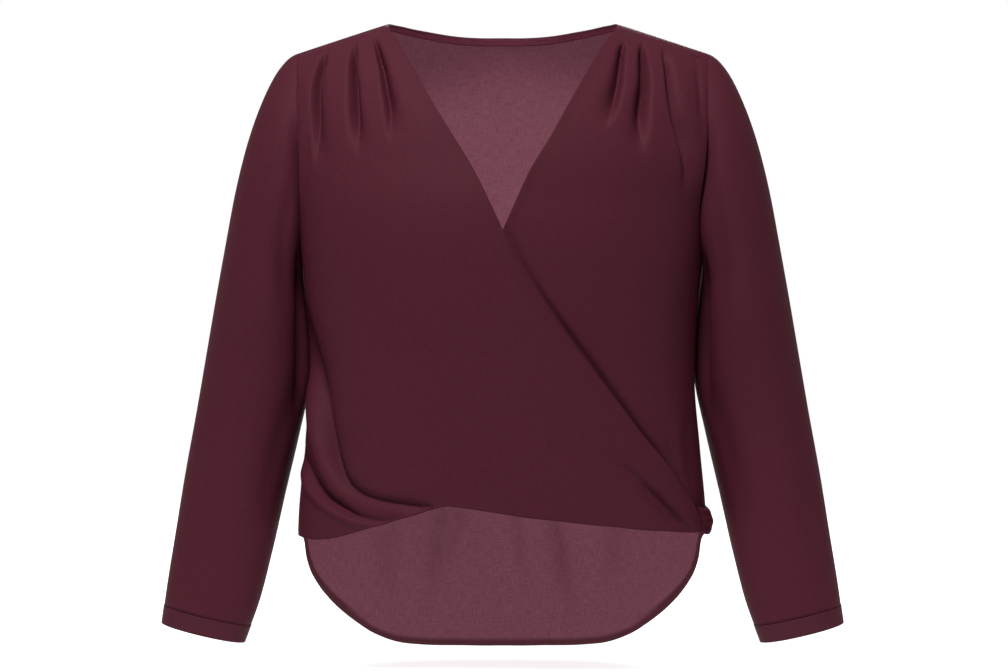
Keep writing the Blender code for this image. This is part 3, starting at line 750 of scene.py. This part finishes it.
# Sleeves and cuffs
# Long set-in sleeves of the same crepe, eased into the armholes and hanging almost straight
# down and out. Each ends in a narrow band of the cloth turned double and stitched on.
# x and height of the outer point, x and height of the inner point, half depth, how far forward
SLEEVE = (
    (289, -204, 208.8, -292, 69, -14),
    (303.5, -282, 205.2, -327, 71, -18),
    (315.5, -350, 204.6, -376, 66, -20),
    (325.5, -408, 216, -431, 62, -20),
    (337, -474, 230.3, -494, 57, -14),
    (347, -540, 244.8, -561, 51, -5),
    (355, -595, 259.5, -618, 44, 4),
    (357.5, -614, 266, -636, 41, 6),
)
SLEEVE_ROUNDNESS = 2.15
# how strongly the sleeve head leaves the armhole and arrives at the first section, at the top
# and under the arm; then its direction: outwards, less under the arm, to both sides and down
HEAD_REACH = (128.0, 52.0)
HEAD_ARRIVE = (119.0, 48.0)
HEAD_OUT = 0.96
HEAD_TUCK = 0.92
HEAD_SPREAD = 0.26
TUCK_POWER = 1.4
HEAD_FALL = 0.25
CAP_CLEAR = 0.08
CAP_ROWS = 50
CAP_CROWDING = 1.3
SLEEVE_ROWS = 90
CUFF_LENGTH = 19.0
CUFF_ROWS = 13
CUFF_STEP = 0.5
CUFF_CLEAR = 0.15
CUFF_WALL = 1.6
# turn round the sleeve (0 outside, 0.25 front, 0.5 inside), shares along it, turn at the
# end, depth, width in turns
SLEEVE_FOLDS = (
    (0.435, 0.12, 0.66, 0.425, 13.0, 0.030),
    (0.30, 0.05, 0.48, 0.33, 2.4, 0.030),
    (0.19, 0.10, 0.55, 0.17, 1.8, 0.035),
    (0.40, 0.35, 0.85, 0.36, 2.0, 0.030),
    (0.12, 0.50, 0.95, 0.15, 1.6, 0.040),
    (0.70, 0.10, 0.60, 0.68, 2.2, 0.035),
    (0.82, 0.40, 0.95, 0.80, 2.0, 0.035),
    (0.60, 0.45, 0.90, 0.62, 1.8, 0.030),
)
SLEEVE_FOLD_FADE = 0.15
# The sleeve falls back behind the edge of the front just beyond the armhole seam: how far, at
# what share of its length the most, and between which turns
VALLEY = (-4.0, 13.0, 0.0)
VALLEY_SHARE = 0.03
VALLEY_BEGINS = (0.16, 0.3)
VALLEY_ENDS = (0.44, 0.5)

# The crepe turned double: the face's wine with no light through it
crepe_band = crepe("wine polyester crepe, turned double", "421d26", "391820", "391820",
                   roughness=0.6, sheen=0.06, grain_strength=0.55, bump=0.3)


def ring(row, turn):
    """One sleeve section: its outer point, round the front to the inner point and back."""
    outer_x, outer_z, inner_x, inner_z, half_depth, forward = row
    power = 2 / SLEEVE_ROUNDNESS
    out = np.sign(np.cos(turn)) * np.abs(np.cos(turn)) ** power
    front = np.sign(np.sin(turn)) * np.abs(np.sin(turn)) ** power
    x = (outer_x + inner_x) / 2 + (outer_x - inner_x) / 2 * out
    z = (outer_z + inner_z) / 2 + (outer_z - inner_z) / 2 * out
    return np.stack((x, -forward - half_depth * front, z), -1)


def grid_of_sleeve(side, front_edge, back_edge):
    """Points of a sleeve: its head leaves the armhole that two panels leave it, then come the
    sections down to the cuff, with the folds pressed in."""
    armhole = np.concatenate((front_edge, back_edge[-2::-1]))
    armhole[0] = armhole[-1] = (front_edge[0] + back_edge[0]) / 2
    underarm = len(front_edge) - 1
    armhole[underarm] = (front_edge[-1] + back_edge[-1]) / 2
    armhole[:, 0] *= side
    turn = np.concatenate((np.linspace(0, np.pi, underarm + 1),
                           np.linspace(np.pi, 2 * np.pi, len(back_edge))[1:]))
    rings = np.array([ring(row, turn) for row in SLEEVE])
    lengths = np.linalg.norm(np.diff(rings.mean(axis=1), axis=0), axis=1)
    shares = np.concatenate(([0.0], np.cumsum(lengths))) / lengths.sum()
    stack = np.column_stack((shares, rings.reshape(len(rings), -1)))
    where = np.linspace(0, 1, SLEEVE_ROWS + 1)
    below = read_table(stack, where).reshape(len(where), -1, 3)
    low = (1 - np.cos(turn)) / 2
    leave = np.stack((HEAD_OUT - HEAD_TUCK * low ** TUCK_POWER, -HEAD_SPREAD * np.sin(turn),
                      -HEAD_FALL - (1 - HEAD_FALL) * low), -1)
    leave = unit(leave) * (HEAD_REACH[0] + (HEAD_REACH[1] - HEAD_REACH[0]) * low)[:, None]
    reach = HEAD_ARRIVE[0] + (HEAD_ARRIVE[1] - HEAD_ARRIVE[0]) * low
    arrive = unit(below[1] - below[0]) * reach[:, None]
    t = np.linspace(0, 1, CAP_ROWS + 1)[:, None, None] ** CAP_CROWDING
    start = armhole + unit(leave) * (SEAM_GAP + CAP_CLEAR * (1 - low))[:, None]
    head = (start * (1 + 2 * t) * (1 - t) ** 2 + leave * t * (1 - t) ** 2
            + below[0] * t ** 2 * (3 - 2 * t) - arrive * t ** 2 * (1 - t))
    points = np.concatenate((head[:-1], below))
    around = turn / (2 * np.pi)
    share = np.linspace(0, 1, len(points))[:, None]
    depth = np.zeros(points.shape[:2])
    for start_turn, first, last, end_turn, deep, width in SLEEVE_FOLDS:
        centre = start_turn + (end_turn - start_turn) * rise(share, first, last)
        gap = (around[None, :] - centre + 0.5) % 1.0 - 0.5
        strength = (rise(share, first, first + SLEEVE_FOLD_FADE)
                    * (1 - rise(share, last - SLEEVE_FOLD_FADE, last)))
        depth += deep * strength * np.exp(-(gap / width) ** 2)
    middle = points.mean(axis=1, keepdims=True)
    points = points - unit(points - middle) * depth[..., None]
    near_seam = share / VALLEY_SHARE * np.exp(1 - share / VALLEY_SHARE)
    in_front = rise(around, *VALLEY_BEGINS) * (1 - rise(around, *VALLEY_ENDS))
    points = points + np.array(VALLEY) * (near_seam * in_front)[..., None]
    points[..., 0] *= side
    return points


def tube_grain(points):
    """UV map in metres round a tube and down it."""
    ring_length = np.linalg.norm(np.diff(points[len(points) // 2], axis=0), axis=1).sum()
    along = np.linspace(0, ring_length, points.shape[1]) * MM
    column = points[:, points.shape[1] // 4]
    down = np.concatenate(([0], np.cumsum(np.linalg.norm(np.diff(column, axis=0), axis=1))))
    return np.stack(np.broadcast_arrays(along[None, :], down[:, None] * MM), -1)


for side, word, front_edge, back_edge in (
        (-1, "right", over_points[:FRONT_ARMHOLE_ROWS + 1:2, 0], back_armholes[::2, 0]),
        (1, "left", under_points[:FRONT_ARMHOLE_ROWS + 1:2, -1], back_armholes[::2, -1])):
    sleeve_points = grid_of_sleeve(side, front_edge, back_edge)
    sleeve = cloth(f"{word}_sleeve", sleeve_points, (crepe_face, crepe_reverse),
                   turned=side < 0, tube=True, grain=tube_grain(sleeve_points))
    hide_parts(f"sleeve_{word}")

    down = unit(sleeve_points[-1] - sleeve_points[-2])
    spoke = unit(sleeve_points[-1] - sleeve_points[-1].mean(axis=0))
    top = sleeve_points[-1] + down * CUFF_CLEAR + spoke * CUFF_STEP
    levels = np.linspace(0, CUFF_LENGTH, CUFF_ROWS)[:, None, None]
    cuff_points = top[None] + down[None] * levels
    cuff = cloth(f"{word}_cuff", cuff_points, (crepe_band,), wall=CUFF_WALL,
                 turned=side < 0, tube=True, grain=tube_grain(cuff_points))
    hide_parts(f"cuff_{word}")

# Neck binding
# A bias strip of the same crepe, folded and stitched along the inside of the back neck. It
# is four layers thick there, so no light comes through, it is given no painted glow and it
# reads darker than the back. Its colour is painted much paler than the face: painted light
# that brightens it in the shade of the neck hollow. Its folded top is painted dark, painted
# shade against the lamp's light there, and it is darker along its lower edge.
BINDING_WIDTH = 10.0
BINDING_CLEAR = 0.5
BINDING_WALL = 0.9
BINDING_ROWS = 7
# painted shade along the binding's folded top, where the lamp lights it; the lower edge is darker
# too
FOLDED_TOP_PAINTED_SHADE = 1.0
LOWER_EDGE_DARKENING = 0.7
# The crepe on the bias, its colour painted paler than the face as painted light, and dark
# only at its edges
crepe_binding = crepe("wine polyester crepe, bias binding", "a0546a", "8e4a5e", "32151e",
                      roughness=0.6, sheen=0.06, grain_strength=0.5, bump=0.3)
# The strip follows the neck edge and is laid from it straight into the panel: step is the
# change of place that moves a point one millimetre that way
neck, neck_columns = back_neck(BACK_COLUMNS)
edge = neck(neck_columns)
sideways, down = slopes(edge[:, 0], edge[:, 1])
normal = unit(np.cross(down, sideways))
tangent = unit(np.gradient(torso(edge[:, 0], edge[:, 1]), axis=0))
into_panel = np.cross(normal, tangent)
side_side = np.sum(sideways ** 2, -1)
side_down = np.sum(sideways * down, -1)
down_down = np.sum(down ** 2, -1)
side_part = np.sum(sideways * into_panel, -1)
down_part = np.sum(down * into_panel, -1)
scale = side_side * down_down - side_down ** 2
step = np.stack(((down_down * side_part - side_down * down_part) / scale,
                 (side_side * down_part - side_down * side_part) / scale), -1)
strip = edge[None] + np.linspace(0, BINDING_WIDTH, BINDING_ROWS)[:, None, None] * step[None]
strip_points = torso(strip[..., 0], strip[..., 1])
strip_points -= (WALL + BINDING_CLEAR) * outward(strip[..., 0], strip[..., 1])
strip_edges = np.zeros(strip_points.shape[:2])
strip_edges[0] = FOLDED_TOP_PAINTED_SHADE
strip_edges[-1] = LOWER_EDGE_DARKENING
binding = cloth("back_neck_binding", strip_points, (crepe_binding,), wall=BINDING_WALL,
                doubled_and_painted_shade=strip_edges)
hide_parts("neck_binding")

# Hip loop
# A short rolled fold of the crepe that comes from behind the left side seam and stops beside
# the end of the crossed edge, where the over front is gathered.
LOOP_FRONT_TOP = (200.5, -508.0)
LOOP_FRONT_BOTTOM = (210.5, -538.0)
LOOP_SIDE_TOP = -511.0
LOOP_SIDE_BOTTOM = -541.0
LOOP_BACK_ACROSS = 1.12
LOOP_LIFT = 0.15
LOOP_BULGE = 5.4
LOOP_CREASES = 2.5
LOOP_CREASE = 0.6
LOOP_ROUND = 0.7
LOOP_TAPER = (1.1, 0.9)
LOOP_COLUMNS = 61
LOOP_ROWS = 41
loop_start = places_by_height((LOOP_FRONT_TOP, LOOP_FRONT_BOTTOM))
loop_end = place_by_height(np.array((SIDE_SEAM_OUT, SIDE_SEAM_OUT)),
                           np.array((LOOP_SIDE_TOP, LOOP_SIDE_BOTTOM)))
loop_end[:, 0] = LOOP_BACK_ACROSS
along = np.linspace(0, 1, LOOP_COLUMNS)[None, :, None]
height = (1 - np.cos(np.linspace(0, 1, LOOP_ROWS) * np.pi)) / 2
ends = loop_start[:, None] * (1 - along) + loop_end[:, None] * along
loop_places = ends[0] + (ends[1] - ends[0]) * height[:, None, None]
round_off = np.sin(height * np.pi)[:, None] ** LOOP_ROUND
taper = np.sin(np.clip(along[..., 0] * LOOP_TAPER[0], 0, 1) * np.pi) ** LOOP_TAPER[1]
gather = np.sin(height * LOOP_CREASES * 2 * np.pi)[:, None] * (1 - along[..., 0])
lift = WALL + LOOP_LIFT + LOOP_BULGE * round_off * taper + LOOP_CREASE * (1 + gather)
loop_points = torso(loop_places[..., 0], loop_places[..., 1])
loop_points += lift[..., None] * outward(loop_places[..., 0], loop_places[..., 1])
loop = cloth("hip_fold", loop_points, (crepe_face,), turned=True)
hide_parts("hip_loop")

# Studio
# A white ground just below the hem and a white surround, a broad soft lamp high in front, a
# weak one behind, and only weak light from the rest of the room, so that the folds show.
GROUND_SIZE = 4.0
GROUND_BEHIND = 1.6
GROUND_HEIGHT = -0.684
GROUND_GLOW = 0.8
ROOM_LIGHT = 0.45
bpy.ops.mesh.primitive_plane_add(
    size=GROUND_SIZE, location=(0, GROUND_BEHIND, GROUND_HEIGHT))
ground = bpy.context.object
ground.name = "ground"
white_paper = bpy.data.materials.new("white paper, lit from below")
white_paper.use_nodes = True
paper = white_paper.node_tree.nodes["Principled BSDF"]
paper.inputs["Base Color"].default_value = linear("c8c8c8")
paper.inputs["Roughness"].default_value = 0.95
paper.inputs["Emission Color"].default_value = (1.0, 1.0, 1.0, 1.0)
paper.inputs["Emission Strength"].default_value = GROUND_GLOW
ground.data.materials.append(white_paper)

world = bpy.data.worlds.new("white studio")
bpy.context.scene.world = world
world.use_nodes = True
sky = world.node_tree
sky.nodes.clear()
ray = add_node(sky, "ShaderNodeLightPath", {})
room = add_node(sky, "ShaderNodeBackground", {"Strength": ROOM_LIGHT})
surround = add_node(sky, "ShaderNodeBackground", {"Color": (1.0, 1.0, 1.0, 1.0)})
room.inputs["Color"].default_value = (1.0, 1.0, 1.0, 1.0)
both = add_node(sky, "ShaderNodeMixShader", {0: ray.outputs["Is Camera Ray"]})
sky.links.new(room.outputs[0], both.inputs[1])
sky.links.new(surround.outputs[0], both.inputs[2])
add_node(sky, "ShaderNodeOutputWorld", {"Surface": both.outputs[0]})


def soft_lamp(name, place, target, size, power):
    """A square lamp of a size in metres and a power in watts, turned towards its target."""
    bpy.ops.object.light_add(type="AREA", location=place)
    lamp = bpy.context.object
    lamp.name = name
    lamp.data.size = size
    lamp.data.energy = power
    away = np.array(place) - np.array(target)
    away = away / np.linalg.norm(away)
    turn = np.arctan2(away[1], away[0]) + np.pi / 2
    lamp.rotation_euler = (np.arccos(away[2]), 0.0, turn)


soft_lamp("key lamp", (-0.3, -1.4, 1.45), target=(0, 0, -0.2), size=0.6, power=73.0)
soft_lamp("back lamp", (0.3, 2.5, 0.7), target=(0, 0, -0.3), size=0.9, power=30.0)

# Camera level with the middle of the blouse, three metres in front of it
CAMERA_DISTANCE = 3.0
CAMERA_ACROSS = 0.0015
CAMERA_HEIGHT = -0.3307
FRAME_WIDTH = 1.0685
SENSOR = 36.0
bpy.ops.object.camera_add(location=(CAMERA_ACROSS, -CAMERA_DISTANCE, CAMERA_HEIGHT),
                          rotation=(np.pi / 2, 0.0, 0.0))
camera = bpy.context.object
camera.name = "camera"
camera.data.sensor_width = SENSOR
camera.data.lens = SENSOR * CAMERA_DISTANCE / FRAME_WIDTH
camera.data.clip_start = 0.05
bpy.context.scene.camera = camera
bpy.context.scene.view_settings.view_transform = "Standard"
